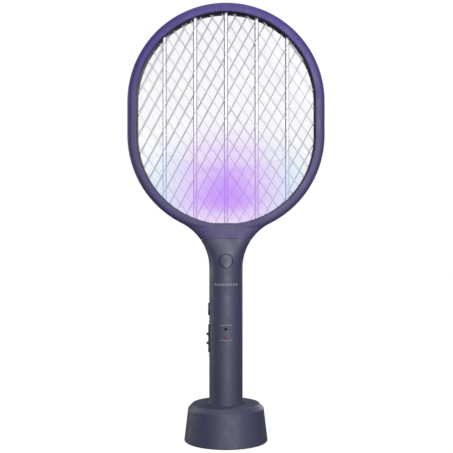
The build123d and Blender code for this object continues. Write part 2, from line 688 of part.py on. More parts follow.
make_head()
make_collar()
make_nets()
make_handle()
make_end_cap()
make_controls()
make_electronics()
make_leads()
make_base()
make_base_electronics()
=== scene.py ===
# %% [markdown]
# # An electric fly swatter, standing in its charging base
#
# The CAD model gives every piece its size and place, and this script gives it its looks. It
# works from the inside of the frame outwards: the stage and camera, the finishes, then the
# pieces that a CAD solid can't show well, such as crossed round wires, printed marks and a
# glowing lamp. All lengths are metres. Pieces take their places from the CAD boxes, and the
# measures that CAD doesn't hold, such as the wires' spacing, are named where they are used.
# Front is -Y and up is +Z.

# %% Load the frame
import bmesh
import bpy
import json
import math
from mathutils import Matrix, Vector


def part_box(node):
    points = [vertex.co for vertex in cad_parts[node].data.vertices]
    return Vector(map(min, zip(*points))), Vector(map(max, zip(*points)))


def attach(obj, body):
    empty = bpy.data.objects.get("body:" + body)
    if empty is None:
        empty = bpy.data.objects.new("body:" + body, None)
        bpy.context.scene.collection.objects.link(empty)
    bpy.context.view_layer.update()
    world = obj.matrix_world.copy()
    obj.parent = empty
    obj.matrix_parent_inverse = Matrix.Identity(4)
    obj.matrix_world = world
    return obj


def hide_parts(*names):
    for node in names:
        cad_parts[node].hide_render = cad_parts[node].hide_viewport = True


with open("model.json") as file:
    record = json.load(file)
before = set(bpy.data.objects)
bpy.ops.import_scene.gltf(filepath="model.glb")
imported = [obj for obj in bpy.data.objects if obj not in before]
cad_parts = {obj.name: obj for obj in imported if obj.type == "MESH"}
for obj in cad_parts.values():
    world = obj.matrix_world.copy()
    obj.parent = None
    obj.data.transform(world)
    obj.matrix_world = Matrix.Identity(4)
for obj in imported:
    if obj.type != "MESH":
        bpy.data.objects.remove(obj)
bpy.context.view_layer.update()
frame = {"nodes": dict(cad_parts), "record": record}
cad_nodes = frame["nodes"]
MM = 0.001


def middle(node):
    """The middle of a CAD node's box."""
    low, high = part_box(node)
    return (Vector(low) + Vector(high)) / 2


def size_of(node):
    """The three sides of a CAD node's box."""
    low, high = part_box(node)
    return Vector(high) - Vector(low)


# %% [markdown]
# ## The measures that everything hangs on
#
# The head is a stadium: two half circles joined by short straight sides. Its frame's box gives
# the outer radius, half its width, and the two centres. The lips of the frame stand 11 mm
# inside that outline, and the nets sit between them. The handle is a round tube, and its end
# cap's box gives the radius.

# %% Head and handle measures
head_low, head_high = (Vector(corner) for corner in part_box("head_front_frame"))
HEAD_R = (head_high.x - head_low.x) / 2
LIP_WIDTH = 11 * MM
OPENING_R = HEAD_R - LIP_WIDTH
net_low, net_high = (Vector(corner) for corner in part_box("front_guard_net"))
NET_R = (net_high.x - net_low.x) / 2
HIGH_CENTRE = head_high.z - HEAD_R
LOW_CENTRE = net_low.z + NET_R
HEAD_MIDDLE = (HIGH_CENTRE + LOW_CENTRE) / 2
HANDLE_R = size_of("handle_end_cap").x / 2
TOP = head_high.z
print(f"head radius {HEAD_R:.4f}, centres {LOW_CENTRE:.4f} and {HIGH_CENTRE:.4f}, grip {HANDLE_R:.4f}")

# %% [markdown]
# ## Stage, camera and light
#
# The object is dark and satin, on a white ground. A white world would wash its sides out, so
# the world and the floor are white only where the camera looks straight at them, and a dim
# grey for light that bounces. The shape is then drawn by the lamps: a tall soft one in front,
# a little to the right, which gives the handle its broad highlight, and a narrow one behind on
# the left for the thin bright edge. One overhead and one behind on the right lift the top and
# the back.

# %% World
SEEN_STRENGTH = 1.02
FILL_STRENGTH = 0.035
world = bpy.data.worlds.new("studio")
bpy.context.scene.world = world
world.use_nodes = True
sky = world.node_tree
sky.nodes.clear()
sky_out = sky.nodes.new("ShaderNodeOutputWorld")
seen_sky = sky.nodes.new("ShaderNodeBackground")
seen_sky.inputs["Color"].default_value = (1, 1, 1, 1)
seen_sky.inputs["Strength"].default_value = SEEN_STRENGTH
fill_sky = sky.nodes.new("ShaderNodeBackground")
fill_sky.inputs["Color"].default_value = (0.86, 0.90, 1.0, 1)
fill_sky.inputs["Strength"].default_value = FILL_STRENGTH
sky_mix = sky.nodes.new("ShaderNodeMixShader")
sky_path = sky.nodes.new("ShaderNodeLightPath")
sky.links.new(sky_path.outputs["Is Camera Ray"], sky_mix.inputs["Fac"])
sky.links.new(fill_sky.outputs[0], sky_mix.inputs[1])
sky.links.new(seen_sky.outputs[0], sky_mix.inputs[2])
sky.links.new(sky_mix.outputs[0], sky_out.inputs["Surface"])
bpy.context.scene.view_settings.view_transform = "Standard"
print("world ready")

# %% Camera
CAMERA_DISTANCE = 1.010
CAMERA_HEIGHT = 0.240
CAMERA_SIDE = 0.0006
FRAME_HEIGHT = 0.5074
camera_data = bpy.data.cameras.new("camera")
camera_data.sensor_width = 36
camera_data.lens = camera_data.sensor_width * CAMERA_DISTANCE / FRAME_HEIGHT
camera_data.clip_start = 0.01
camera = bpy.data.objects.new("camera", camera_data)
camera.location = (CAMERA_SIDE, -CAMERA_DISTANCE, CAMERA_HEIGHT)
camera.rotation_euler = (math.radians(90), 0, 0)
bpy.context.scene.collection.objects.link(camera)
bpy.context.scene.camera = camera
print(f"camera lens {camera_data.lens:.1f} mm")


# %% Lamps
def soft_lamp(name, place, target, width, height, power):
    """A rectangular white studio lamp of some watts that faces a target point."""
    data = bpy.data.lights.new(name, "AREA")
    data.shape = "RECTANGLE"
    data.size = width
    data.size_y = height
    data.energy = power
    lamp = bpy.data.objects.new(name, data)
    lamp.location = place
    lamp.rotation_euler = (Vector(target) - Vector(place)).to_track_quat("-Z", "Y").to_euler()
    bpy.context.scene.collection.objects.link(lamp)


GRIP_POINT = (0, 0, 0.20)
HEAD_POINT = (0, 0, 0.30)
soft_lamp("key", (0.30, -1.34, 0.55), GRIP_POINT, 0.40, 1.0, 19)
soft_lamp("left_edge", (-0.95, 0.55, 0.35), GRIP_POINT, 0.25, 1.2, 6)
soft_lamp("top", (0.0, -0.15, 1.6), HEAD_POINT, 1.0, 1.0, 6)
soft_lamp("rear", (0.7, 1.3, 0.6), GRIP_POINT, 0.6, 1.0, 8)


# %% Floor
def floor_disc(radius):
    """A flat round floor."""
    shape = bmesh.new()
    bmesh.ops.create_circle(shape, cap_ends=True, segments=96, radius=radius)
    mesh = bpy.data.meshes.new("floor")
    shape.to_mesh(mesh)
    shape.free()
    disc = bpy.data.objects.new("floor", mesh)
    bpy.context.scene.collection.objects.link(disc)
    return disc


FLOOR_RADIUS = 6.0
floor = floor_disc(FLOOR_RADIUS)
floor_material = bpy.data.materials.new("pale_floor")
floor_material.use_nodes = True
tree = floor_material.node_tree
tree.nodes.clear()
floor_out = tree.nodes.new("ShaderNodeOutputMaterial")
floor_diffuse = tree.nodes.new("ShaderNodeBsdfDiffuse")
floor_glow = tree.nodes.new("ShaderNodeEmission")
floor_glow.inputs["Strength"].default_value = 1.0
floor_add = tree.nodes.new("ShaderNodeAddShader")
floor_dim = tree.nodes.new("ShaderNodeBsdfDiffuse")
floor_dim.inputs["Color"].default_value = (0.10, 0.10, 0.12, 1)
floor_mix = tree.nodes.new("ShaderNodeMixShader")
floor_path = tree.nodes.new("ShaderNodeLightPath")
floor_diffuse.inputs["Color"].default_value = (0.06, 0.06, 0.06, 1)
tree.links.new(floor_diffuse.outputs[0], floor_add.inputs[0])
tree.links.new(floor_glow.outputs[0], floor_add.inputs[1])
tree.links.new(floor_path.outputs["Is Camera Ray"], floor_mix.inputs["Fac"])
tree.links.new(floor_dim.outputs[0], floor_mix.inputs[1])
tree.links.new(floor_add.outputs[0], floor_mix.inputs[2])
tree.links.new(floor_mix.outputs[0], floor_out.inputs["Surface"])
floor.data.materials.append(floor_material)
print("floor ready")

# %% [markdown]
# ## Shared effects as node groups
#
# Several finishes need the same effects: a colour that fades with height, the fine skin of a
# moulded part, the smudges of handling, and the lamp's violet light dying away from its
# window. Each effect is a node group with named inputs and outputs, built once here, so that
# a material only sets its values. Groups give out colours and masks, never shaders.


# %% Node helpers
def add_group(name, inputs, outputs):
    """An empty node group with the given sockets, and its input and output nodes."""
    group = bpy.data.node_groups.new(name, "ShaderNodeTree")
    kinds = {"value": "NodeSocketFloat", "colour": "NodeSocketColor", "vector": "NodeSocketVector"}
    for label, kind, default in inputs:
        socket = group.interface.new_socket(name=label, in_out="INPUT", socket_type=kinds[kind])
        socket.default_value = default
    for label, kind in outputs:
        group.interface.new_socket(name=label, in_out="OUTPUT", socket_type=kinds[kind])
    return group, group.nodes.new("NodeGroupInput"), group.nodes.new("NodeGroupOutput")


def maths(group, operation, first, second=None, third=None, clamp=False):
    """A maths node fed by sockets or numbers, giving its output socket."""
    node = group.nodes.new("ShaderNodeMath")
    node.operation = operation
    node.use_clamp = clamp
    for index, value in enumerate((first, second, third)):
        if value is None:
            continue
        if isinstance(value, (int, float)):
            node.inputs[index].default_value = value
        else:
            group.links.new(value, node.inputs[index])
    return node.outputs[0]


def ranged(group, value, from_low, from_high, to_low=0.0, to_high=1.0, smooth=True):
    """Remaps a value from one range to another, gently or straight."""
    node = group.nodes.new("ShaderNodeMapRange")
    node.interpolation_type = "SMOOTHSTEP" if smooth else "LINEAR"
    group.links.new(value, node.inputs["Value"])
    for label, number in (("From Min", from_low), ("From Max", from_high),
                          ("To Min", to_low), ("To Max", to_high)):
        if isinstance(number, (int, float)):
            node.inputs[label].default_value = number
        else:
            group.links.new(number, node.inputs[label])
    return node.outputs["Result"]


def mixed(group, factor, first, second, kind="MIX"):
    """Mixes two colours, each a socket or a plain colour."""
    node = group.nodes.new("ShaderNodeMix")
    node.data_type = "RGBA"
    node.blend_type = kind
    for index, value in ((0, factor), (6, first), (7, second)):
        if isinstance(value, (int, float, tuple)):
            node.inputs[index].default_value = value
        else:
            group.links.new(value, node.inputs[index])
    return node.outputs[2]


def noise(group, place, scale, detail=3.0, roughness=0.5):
    """A noise texture's grey value."""
    node = group.nodes.new("ShaderNodeTexNoise")
    group.links.new(place, node.inputs["Vector"])
    if isinstance(scale, (int, float)):
        node.inputs["Scale"].default_value = scale
    else:
        group.links.new(scale, node.inputs["Scale"])
    node.inputs["Detail"].default_value = detail
    node.inputs["Roughness"].default_value = roughness
    return node.outputs["Fac"]


def object_place(group):
    """The point's place in the object's own coordinates."""
    return group.nodes.new("ShaderNodeTexCoord").outputs["Object"]


print("helpers ready")

# %% Height fade: one colour turns into another as the surface rises
fade_group, fade_in, fade_out = add_group(
    "height_fade",
    [("Low Colour", "colour", (0.1, 0.1, 0.1, 1)), ("High Colour", "colour", (0.2, 0.1, 0.3, 1)),
     ("Low Height", "value", 0.2), ("High Height", "value", 0.5)],
    [("Color", "colour")])
fade_parts = fade_group.nodes.new("ShaderNodeSeparateXYZ")
fade_group.links.new(object_place(fade_group), fade_parts.inputs[0])
fade_factor = ranged(fade_group, fade_parts.outputs["Z"], fade_in.outputs["Low Height"],
                     fade_in.outputs["High Height"])
fade_colour = mixed(fade_group, fade_factor, fade_in.outputs["Low Colour"], fade_in.outputs["High Colour"])
fade_group.links.new(fade_colour, fade_out.inputs["Color"])
print("height_fade built")

# %% Moulded skin: fine texture, slight mottling and handling smudges
skin_group, skin_in, skin_out = add_group(
    "moulded_skin",
    [("Colour", "colour", (0.1, 0.1, 0.1, 1)), ("Grain Scale", "value", 2600.0),
     ("Roughness", "value", 0.45), ("Variation", "value", 0.08)],
    [("Color", "colour"), ("Roughness", "value"), ("Height", "value")])
skin_place = object_place(skin_group)
skin_grain = noise(skin_group, skin_place, skin_in.outputs["Grain Scale"], 2.0, 0.6)
skin_cloud = noise(skin_group, skin_place, 22.0, 4.0, 0.55)
skin_smudge = noise(skin_group, skin_place, 75.0, 5.0, 0.65)
skin_tone = ranged(skin_group, skin_cloud, 0.3, 0.7, 0.94, 1.05)
skin_scaled = skin_group.nodes.new("ShaderNodeVectorMath")
skin_scaled.operation = "SCALE"
skin_group.links.new(skin_in.outputs["Colour"], skin_scaled.inputs[0])
skin_group.links.new(skin_tone, skin_scaled.inputs["Scale"])
skin_group.links.new(skin_scaled.outputs[0], skin_out.inputs["Color"])
skin_patch = ranged(skin_group, skin_smudge, 0.35, 0.7, -1.0, 1.0)
skin_shift = maths(skin_group, "MULTIPLY", skin_patch, skin_in.outputs["Variation"])
skin_rough = maths(skin_group, "ADD", skin_shift, skin_in.outputs["Roughness"], clamp=True)
skin_group.links.new(skin_rough, skin_out.inputs["Roughness"])
skin_group.links.new(skin_grain, skin_out.inputs["Height"])
print("moulded_skin built")

# %% Lamp light: a violet core over the window, inside a wide pale halo
lamp_place = middle("uv_lamp_window")
CORE_RISE = 29 * MM
CORE_SIZE = (78 * MM, 84 * MM, 34 * MM)
HALO_RISE = 18 * MM
HALO_SIZE = (130 * MM, 112 * MM, 70 * MM)
SIDE_START = 0.030
SIDE_END = 0.080


def egg(group, centre_z, size):
    """Distance from a centre, 1 on an egg-shaped outline: half width, height above, depth below."""
    parts = group.nodes.new("ShaderNodeSeparateXYZ")
    group.links.new(object_place(group), parts.inputs[0])
    sideways = maths(group, "DIVIDE", parts.outputs["X"], size[0])
    rise = maths(group, "SUBTRACT", parts.outputs["Z"], centre_z)
    above = maths(group, "DIVIDE", maths(group, "MAXIMUM", rise, 0.0), size[1])
    below = maths(group, "DIVIDE", maths(group, "MINIMUM", rise, 0.0), size[2])
    upright = maths(group, "ADD", above, below)
    total = maths(group, "ADD", maths(group, "POWER", sideways, 2.0), maths(group, "POWER", upright, 2.0))
    return maths(group, "SQRT", total)


lamp_group, lamp_in, lamp_out = add_group(
    "lamp_light",
    [("Core Colour", "colour", (0.55, 0.27, 0.94, 1)), ("Middle Colour", "colour", (0.74, 0.58, 0.92, 1)),
     ("Side Colour", "colour", (0.50, 0.68, 0.88, 1)),
     ("Core Strength", "value", 0.80), ("Halo Strength", "value", 0.46)],
    [("Color", "colour"), ("Mask", "value")])
core_mask = ranged(lamp_group, egg(lamp_group, lamp_place.z + CORE_RISE, CORE_SIZE), 0.10, 1.0, 1.0, 0.0)
halo_mask = ranged(lamp_group, egg(lamp_group, lamp_place.z + HALO_RISE, HALO_SIZE), 0.35, 1.0, 1.0, 0.0)
core_part = maths(lamp_group, "MULTIPLY", core_mask, lamp_in.outputs["Core Strength"])
halo_part = maths(lamp_group, "MULTIPLY", halo_mask, lamp_in.outputs["Halo Strength"])
lamp_parts = lamp_group.nodes.new("ShaderNodeSeparateXYZ")
lamp_group.links.new(object_place(lamp_group), lamp_parts.inputs[0])
sideways_x = maths(lamp_group, "ABSOLUTE", lamp_parts.outputs["X"])
side_mask = ranged(lamp_group, sideways_x, SIDE_START, SIDE_END)
halo_tint = mixed(lamp_group, side_mask, lamp_in.outputs["Middle Colour"], lamp_in.outputs["Side Colour"])
lamp_tint = mixed(lamp_group, core_mask, halo_tint, lamp_in.outputs["Core Colour"])
lamp_mask = maths(lamp_group, "MAXIMUM", core_part, halo_part)
lamp_group.links.new(lamp_tint, lamp_out.inputs["Color"])
lamp_group.links.new(lamp_mask, lamp_out.inputs["Mask"])
print("lamp_light built")

# %% Opening shade: a mask for painted shade, how far a point lies from the line between the head's two centres
shade_group, shade_in, shade_out = add_group(
    "opening_shade", [("Start", "value", 0.098), ("End", "value", 0.099)], [("Mask", "value")])
shade_parts = shade_group.nodes.new("ShaderNodeSeparateXYZ")
shade_group.links.new(object_place(shade_group), shade_parts.inputs[0])
shade_above = maths(shade_group, "MAXIMUM", shade_parts.outputs["Z"], LOW_CENTRE)
shade_near = maths(shade_group, "MINIMUM", shade_above, HIGH_CENTRE)
shade_rise = maths(shade_group, "SUBTRACT", shade_parts.outputs["Z"], shade_near)
shade_sum = maths(shade_group, "ADD", maths(shade_group, "POWER", shade_parts.outputs["X"], 2.0),
                  maths(shade_group, "POWER", shade_rise, 2.0))
shade_mask = ranged(shade_group, maths(shade_group, "SQRT", shade_sum), shade_in.outputs["Start"],
                    shade_in.outputs["End"], smooth=False)
shade_group.links.new(shade_mask, shade_out.inputs["Mask"])
print("opening_shade built")

# %% [markdown]
# ## Finishes
#
# The moulded parts are soft-touch plastic: a fine grain, a broad low highlight, and a colour
# that runs from slate blue at the foot to violet at the top of the ring. The inner pieces are
# near-black so that the nets stand out. Wires are drawn steel, in a darker copy for the rising
# wires and a lighter one for the falling wires, which is painted light and shade. The wires and
# the milky ribs have a faint even glow of their own, which is painted light; the lamp parts glow
# as lamps. The frame's inner wall and the wires' ends beside it carry painted shade. Every
# finish is a plain Principled shader with its maps worked out by the groups.


# %% Material helper
def finish(name, metallic=0.0, specular=0.5, ior=1.46):
    """A material with an output and a Principled shader, and the numbers that are the same all over."""
    material = bpy.data.materials.new(name)
    material.use_nodes = True
    tree = material.node_tree
    tree.nodes.clear()
    out = tree.nodes.new("ShaderNodeOutputMaterial")
    shader = tree.nodes.new("ShaderNodeBsdfPrincipled")
    shader.inputs["Metallic"].default_value = metallic
    shader.inputs["Specular IOR Level"].default_value = specular
    shader.inputs["IOR"].default_value = ior
    tree.links.new(shader.outputs[0], out.inputs["Surface"])
    return material, tree, shader


def use_group(tree, group, **values):
    """Places a node group in a material and sets its inputs, underscores standing for spaces."""
    node = tree.nodes.new("ShaderNodeGroup")
    node.node_tree = group
    for label, value in values.items():
        socket = node.inputs[label.replace("_", " ")]
        if isinstance(value, (int, float, tuple)):
            socket.default_value = value
        else:
            tree.links.new(value, socket)
    return node


def bump(tree, shader, height, strength, distance):
    """Roughens the surface by a height map."""
    node = tree.nodes.new("ShaderNodeBump")
    node.inputs["Strength"].default_value = strength
    node.inputs["Distance"].default_value = distance
    tree.links.new(height, node.inputs["Height"])
    tree.links.new(node.outputs[0], shader.inputs["Normal"])


def shade_colour(tree, base, shade):
    """Paints shade into a colour: darkens it from one distance to another, given as (start, end, dark
    colour, light colour).
    """
    mask = use_group(tree, shade_group, Start=shade[0], End=shade[1]).outputs["Mask"]
    return mixed(tree, mask, shade[2] or base, shade[3] or base)


def plastic(name, colour, grain=2600.0, roughness=0.45, variation=0.07, strength=0.25, specular=0.35,
            shade=None):
    """Moulded plastic of one colour, or of a colour fade given as (low, high, from, to)."""
    material, tree, shader = finish(name, specular=specular)
    if len(colour) == 4 and isinstance(colour[0], tuple):
        fade = use_group(tree, fade_group, Low_Colour=colour[0], High_Colour=colour[1],
                         Low_Height=colour[2], High_Height=colour[3])
        base = fade.outputs["Color"]
    else:
        base = colour
    if shade:
        base = shade_colour(tree, base, shade)
    skin = use_group(tree, skin_group, Colour=base, Grain_Scale=grain, Roughness=roughness,
                     Variation=variation)
    tree.links.new(skin.outputs["Color"], shader.inputs["Base Color"])
    tree.links.new(skin.outputs["Roughness"], shader.inputs["Roughness"])
    bump(tree, shader, skin.outputs["Height"], strength, 0.00012)
    return material


def metal(name, colour, roughness=0.3, variation=0.08, metallic=1.0, shade=None):
    """Drawn or plated metal."""
    material, tree, shader = finish(name, metallic=metallic)
    if shade:
        colour = shade_colour(tree, colour, shade)
    skin = use_group(tree, skin_group, Colour=colour, Grain_Scale=900.0, Roughness=roughness,
                     Variation=variation)
    tree.links.new(skin.outputs["Color"], shader.inputs["Base Color"])
    tree.links.new(skin.outputs["Roughness"], shader.inputs["Roughness"])
    bump(tree, shader, skin.outputs["Height"], 0.15, 0.0001)
    return material


def glow_or_painted_light(material, colour, strength):
    """Adds a steady light of its own to a material: a real glow for the lamp parts, painted light for the
    wires and the ribs.
    """
    shader = next(node for node in material.node_tree.nodes if node.type == "BSDF_PRINCIPLED")
    shader.inputs["Emission Color"].default_value = colour
    shader.inputs["Emission Strength"].default_value = strength


SLATE = (0.056, 0.056, 0.118, 1)
DEEP_SLATE = (0.055, 0.056, 0.112, 1)
MAUVE = (0.076, 0.064, 0.170, 1)
VIOLET = (0.070, 0.050, 0.240, 1)
PAINTED_SHADE_BLACK = (0.006, 0.006, 0.010, 1)
SEAM_HEIGHT = head_low.z
FADE_MARGIN = 20 * MM
# Painted shade: the frame's inner wall round the opening is darkened to near-black, where it lies in shadow.
INNER_WALL_PAINTED_SHADE = (OPENING_R + 0.1 * MM, OPENING_R + 0.5 * MM, PAINTED_SHADE_BLACK, None)
# Painted shade: the wires' ends next to that wall are darkened to near-black as well.
WIRE_END_PAINTED_SHADE = (OPENING_R - 1.3 * MM, OPENING_R - 0.7 * MM, None, PAINTED_SHADE_BLACK)
print("finish helpers ready")

# %% Plastics
head_plastic = plastic("head_violet", (MAUVE, VIOLET, LOW_CENTRE - FADE_MARGIN, TOP - FADE_MARGIN),
                       roughness=0.55, specular=0.45, shade=INNER_WALL_PAINTED_SHADE)
handle_plastic = plastic("handle_slate", (DEEP_SLATE, SLATE, 0.0, SEAM_HEIGHT), roughness=0.60, specular=0.9)
base_plastic = plastic("base_slate", DEEP_SLATE, roughness=0.60, specular=0.9)
button_plastic = plastic("button_slate", SLATE, roughness=0.52, grain=2000.0, specular=0.8)
dark_plastic = plastic("dark_moulding", (0.010, 0.009, 0.016, 1), roughness=0.38, grain=1800.0)
control_plastic = plastic("control_dark", (0.020, 0.020, 0.032, 1), roughness=0.42, grain=1500.0)
rib_milk_painted_glow = plastic("rib_milk_painted_glow", (0.86, 0.84, 0.90, 1), roughness=0.5, grain=900.0)
# Painted light: the milky ribs glow faintly of their own, as if light came through them from behind, though
# they are no lamp.
glow_or_painted_light(rib_milk_painted_glow, (0.95, 0.92, 1.0, 1), 0.30)
# Painted shade: the ribs' slopes get these darker colours, as if the light fell from one side.
rib_side_painted_dark_shade = plastic("rib_side_painted_dark_shade", (0.06, 0.05, 0.09, 1), roughness=0.5, grain=900.0)
rib_side_painted_grey_shade = plastic("rib_side_painted_grey_shade", (0.30, 0.28, 0.34, 1), roughness=0.5, grain=900.0)
pale_ink = plastic("pale_ink", (0.24, 0.24, 0.32, 1), roughness=0.55, grain=3000.0)
dark_ink = plastic("dark_ink", (0.028, 0.028, 0.055, 1), roughness=0.55, grain=3000.0)
board_green = plastic("solder_mask", (0.012, 0.075, 0.030, 1), roughness=0.32, grain=400.0)
tape_yellow = plastic("polyester_tape", (0.52, 0.31, 0.02, 1), roughness=0.25, grain=300.0)
epoxy_red = plastic("dipped_epoxy", (0.27, 0.025, 0.008, 1), roughness=0.2, grain=250.0)
silicone_red = plastic("silicone_insulation", (0.33, 0.012, 0.012, 1), roughness=0.4, grain=700.0)
cell_wrap = plastic("cell_wrap", (0.012, 0.075, 0.27, 1), roughness=0.3, grain=350.0)
foot_rubber = plastic("foot_rubber", (0.012, 0.012, 0.014, 1), roughness=0.8, grain=1300.0, strength=0.5)
red_lamp = plastic("red_lamp", (0.20, 0.03, 0.05, 1), roughness=0.25, grain=300.0, specular=0.5)
glow_or_painted_light(red_lamp, (0.80, 0.06, 0.16, 1), 0.16)
dark_lamp = plastic("dark_lamp", (0.012, 0.010, 0.014, 1), roughness=0.2, grain=300.0, specular=0.5)
violet_lamp = plastic("violet_lamp", (0.55, 0.45, 0.80, 1), roughness=0.3, grain=300.0)
glow_or_painted_light(violet_lamp, (0.42, 0.16, 1.0, 1), 1.0)
window_plastic = plastic("lamp_window", (0.35, 0.28, 0.55, 1), roughness=0.2, grain=500.0, specular=0.5)
glow_or_painted_light(window_plastic, (0.40, 0.16, 1.0, 1), 0.35)
print("plastics ready")

# %% Metals
# Painted light and shade: the rising and falling wires are one steel, given a darker colour for the rising
# ones and a lighter one for the falling ones, as light catches the two directions differently.
rising_wire_painted_shade = metal("rising_wire_painted_shade", (0.42, 0.40, 0.46, 1), 0.45, metallic=0.35, shade=WIRE_END_PAINTED_SHADE)
falling_wire_painted_light = metal("falling_wire_painted_light", (0.80, 0.78, 0.86, 1), 0.40, metallic=0.35, shade=WIRE_END_PAINTED_SHADE)
fine_wire_painted_glow = metal("fine_wire_painted_glow", (0.84, 0.82, 0.90, 1), 0.40, metallic=0.35, shade=WIRE_END_PAINTED_SHADE)
plated_steel = metal("plated_steel", (0.45, 0.45, 0.47, 1), 0.3)
# Painted light: the wires get a faint even glow of their own, though they are no lamp.
glow_or_painted_light(rising_wire_painted_shade, (0.85, 0.80, 1.0, 1), 0.02)
glow_or_painted_light(falling_wire_painted_light, (0.90, 0.86, 1.0, 1), 0.05)
glow_or_painted_light(fine_wire_painted_glow, (0.86, 0.88, 1.0, 1), 0.03)
gold_plate = metal("gold_plate", (0.80, 0.52, 0.16, 1), 0.22)
print("metals ready")

# %% Lamp light on a thin haze
haze_light, haze_tree, haze_shader = finish("lamp_haze", specular=0.0)
haze_maps = use_group(haze_tree, lamp_group)
haze_tree.links.new(haze_maps.outputs["Color"], haze_shader.inputs["Emission Color"])
haze_tree.links.new(haze_maps.outputs["Mask"], haze_shader.inputs["Alpha"])
haze_shader.inputs["Emission Strength"].default_value = 1.0
haze_shader.inputs["Base Color"].default_value = (0, 0, 0, 1)
print("haze ready")

# %% Assign the finishes to the CAD nodes that stay in view
FINISH_OF = {
    "head_plastic": head_plastic, "handle_plastic": handle_plastic, "base_plastic": base_plastic,
    "dark_plastic": dark_plastic, "net_metal": falling_wire_painted_light, "board": board_green,
    "contact_metal": gold_plate, "steel": plated_steel, "battery_metal": cell_wrap,
    "transformer_tape": tape_yellow, "capacitor_epoxy": epoxy_red,
    "wire_insulation": silicone_red, "foot_rubber": foot_rubber,
}
LAMP_FINISH = {"power_led": red_lamp, "charge_led": dark_lamp, "uv_leds": violet_lamp,
               "uv_lamp_window": window_plastic}
OWN_FINISH = {"front_button": button_plastic, "side_button": control_plastic,
              "mode_slider": control_plastic, "switch_bezel": control_plastic, **LAMP_FINISH}
slot_of = {part["node"]: part["material_slot"] for part in frame["record"]["subparts"]}
for name, thing in cad_nodes.items():
    material = OWN_FINISH.get(name, FINISH_OF.get(slot_of[name]))
    if material:
        thing.data.materials.clear()
        thing.data.materials.append(material)
print("finishes assigned")

# %% [markdown]
# ## Making pieces
#
# New pieces are shaped as a bmesh, which is Blender's mesh in editable form, and only then
# turned into an object. The helper below does that last step for all of them: it names the
# object, gives it its materials, smooths it where its faces meet gently, and says which body
# of the object it moves with.


# %% Piece helper
def make_piece(name, shape, materials, body="racket", replaces=(), sharp=40):
    """Turns a bmesh into a piece that rides on a body of the object."""
    mesh = bpy.data.meshes.new(name)
    for face in shape.faces:
        face.smooth = True
    shape.to_mesh(mesh)
    shape.free()
    for material in materials:
        mesh.materials.append(material)
    mesh.set_sharp_from_angle(angle=math.radians(sharp))
    piece = bpy.data.objects.new(name, mesh)
    bpy.context.scene.collection.objects.link(piece)
    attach(piece, body)
    if replaces:
        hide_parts(*replaces)
    return piece


# %% [markdown]
# ## Guard nets and high-voltage grid
#
# On the real racket two coarse nets of welded wire keep fingers out, and a flat grid of fine
# parallel wires between them carries the high voltage. CAD holds each as a flat pierced sheet,
# which is right for collision but looks like paper: light doesn't round over it. Here each wire
# is a rod of its own. A rod's length is the chord of the stadium that it crosses, found by
# halving steps, because the outline is convex and so has only one edge in each direction. The
# two families run into each other where they cross, as welded wires do, and a rim wire near the
# frame's lip joins their ends.

# %% Net measures
GUARD_WIRE = 0.75 * MM
GUARD_DEPTH = 0.60 * MM
FINE_WIRE = 0.40 * MM
RISING_ANGLE = math.radians(62)
FALLING_ANGLE = math.radians(126)
RISING_PITCH = 11.1 * MM
FALLING_PITCH = 10.8 * MM
FINE_PITCH = 2.4 * MM
WIRE_REACH = NET_R - 2.0 * MM
LAYER_SHIFT = 0.09 * MM
GUARD_RIM = (1.2 * MM, 0.78 * MM)
FINE_RIM = (1.4 * MM, 0.9 * MM)
SHORTEST_WIRE = 4 * MM
HALVINGS = 24
print(f"wires reach {WIRE_REACH / MM:.1f} mm from the centres")


# %% One wire across the stadium
def inside_stadium(x, z, radius):
    """True inside the head's outline of the given end radius."""
    nearest = min(max(z, LOW_CENTRE), HIGH_CENTRE)
    return math.hypot(x, z - nearest) < radius


def reach_of(angle, across, way, radius):
    """How far a line runs one way before it leaves the stadium."""
    near, far = 0.0, 3 * radius
    for _ in range(HALVINGS):
        step = (near + far) / 2
        x = way * step * math.cos(angle) - across * math.sin(angle)
        z = HEAD_MIDDLE + way * step * math.sin(angle) + across * math.cos(angle)
        if inside_stadium(x, z, radius):
            near = step
        else:
            far = step
    return near


def add_wire(shape, angle, across, y, width, depth, sides, material_index):
    """One straight wire from edge to edge of the opening."""
    ahead = reach_of(angle, across, 1, WIRE_REACH)
    behind = reach_of(angle, across, -1, WIRE_REACH)
    length = ahead + behind
    if length < SHORTEST_WIRE:
        return
    turn = Matrix.Rotation(math.radians(90) - angle, 4, "Y")
    squash = Matrix.Diagonal((1, depth / width, 1, 1))
    rod = bmesh.ops.create_cone(shape, segments=sides, radius1=width / 2, radius2=width / 2,
                                depth=length, cap_ends=True)
    middle_step = (ahead - behind) / 2
    x = middle_step * math.cos(angle) - across * math.sin(angle)
    z = HEAD_MIDDLE + middle_step * math.sin(angle) + across * math.cos(angle)
    place = Matrix.Translation((x, y, z)) @ turn @ squash
    bmesh.ops.transform(shape, matrix=place, verts=rod["verts"])
    for face in {face for vert in rod["verts"] for face in vert.link_faces}:
        face.material_index = material_index


def add_family(shape, angle, pitch, y, width, depth, sides, material_index=0):
    """All the parallel wires of one direction."""
    count = math.ceil(1.5 * WIRE_REACH / pitch)
    for number in range(-count, count + 1):
        across = number * pitch
        x = -across * math.sin(angle)
        z = HEAD_MIDDLE + across * math.cos(angle)
        if inside_stadium(x, z, WIRE_REACH):
            add_wire(shape, angle, across, y, width, depth, sides, material_index)


